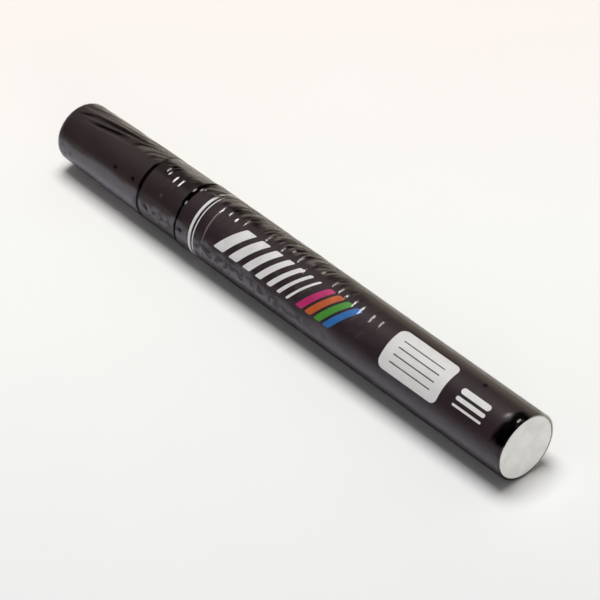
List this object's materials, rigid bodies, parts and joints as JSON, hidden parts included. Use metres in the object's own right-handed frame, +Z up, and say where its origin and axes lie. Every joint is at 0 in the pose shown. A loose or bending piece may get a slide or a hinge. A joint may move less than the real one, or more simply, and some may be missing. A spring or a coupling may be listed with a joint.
{
  "type": "paint marker",
  "caption": "Round valve-action paint marker lying on its side: printed black barrel in clear shrink film, snap cap over a bullet nib, sprung valve and loose mixing ball inside.",
  "frame": {"origin": "on the surface that the marker lies on, under the middle of its length", "axes": "+X along the marker's axis towards the rear disc, with the cap towards -X; +Z up"},
  "size_m": [0.137, 0.015, 0.015],
  "materials": {
    "barrel_black": "satin",
    "plug_white": "matte",
    "seal_rubber": "matte",
    "black_plastic": "satin",
    "holder_white": "satin",
    "nib_fibre": "matte",
    "valve_plastic": "satin",
    "spring_steel": "bright drawn",
    "ball_steel": "polished",
    "clear_film": "gloss"
  },
  "bodies": {
    "barrel": {"barrel_tube": "barrel_black", "end_plug": "plug_white", "barrel_gasket": "seal_rubber", "front_section": "black_plastic", "nib_holder": "holder_white", "valve_seat": "seal_rubber", "valve_cage": "valve_plastic", "valve_spring": "spring_steel", "barrel_film": "clear_film"},
    "cap": {"cap_shell": "black_plastic", "inner_cap": "holder_white", "cap_film": "clear_film"},
    "nib": {"nib": "nib_fibre"},
    "plunger": {"valve_plunger": "valve_plastic"},
    "ball": {"mixing_ball": "ball_steel"}
  },
  "joints": [
    {"name": "cap_pull", "type": "slide", "parent": "barrel", "child": "cap", "axis": [-1, 0, 0], "range_m": [0, 0.045]},
    {"name": "nib_press", "type": "slide", "parent": "barrel", "child": "nib", "axis": [1, 0, 0], "range_m": [0, 0.0018], "stiffness_N_per_m": 600},
    {"name": "valve_stroke", "type": "slide", "parent": "barrel", "child": "plunger", "axis": [1, 0, 0], "range_m": [0, 0.0018], "deforming": ["valve_spring"]},
    {"name": "ball_roll", "type": "slide", "parent": "barrel", "child": "ball", "axis": [1, 0, 0], "range_m": [-0.0352, 0.0352]}
  ],
  "couplings": [
    {"joint": "valve_stroke", "follows": "nib_press", "ratio": 1}
  ]
}
